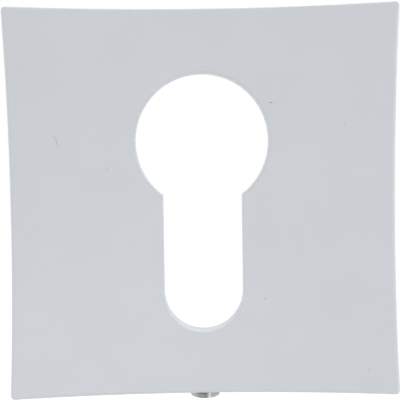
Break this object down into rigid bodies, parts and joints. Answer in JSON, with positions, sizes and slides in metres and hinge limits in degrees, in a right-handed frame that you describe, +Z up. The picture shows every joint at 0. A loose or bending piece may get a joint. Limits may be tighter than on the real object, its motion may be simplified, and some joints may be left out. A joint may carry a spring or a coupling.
{
  "type": "square euro-profile cylinder rose",
  "caption": "Square cover rose with slightly hollow sides and a euro-profile keyhole, hollow behind, clamped over a fixing base on a door by a grub screw in its lower edge.",
  "frame": {"origin": "middle of the square on the door plane, which is the back of the rim", "axes": "+X to the right and +Z up as fitted on a door, +Y into the door, so the front face looks along -Y"},
  "size_m": [0.052, 0.009, 0.0526],
  "materials": {
    "painted_casting": "smooth satin paint",
    "screw_steel": "plain machined steel"
  },
  "bodies": {
    "root": {"rose": "painted_casting", "grub_screw": "screw_steel"}
  },
  "joints": []
}
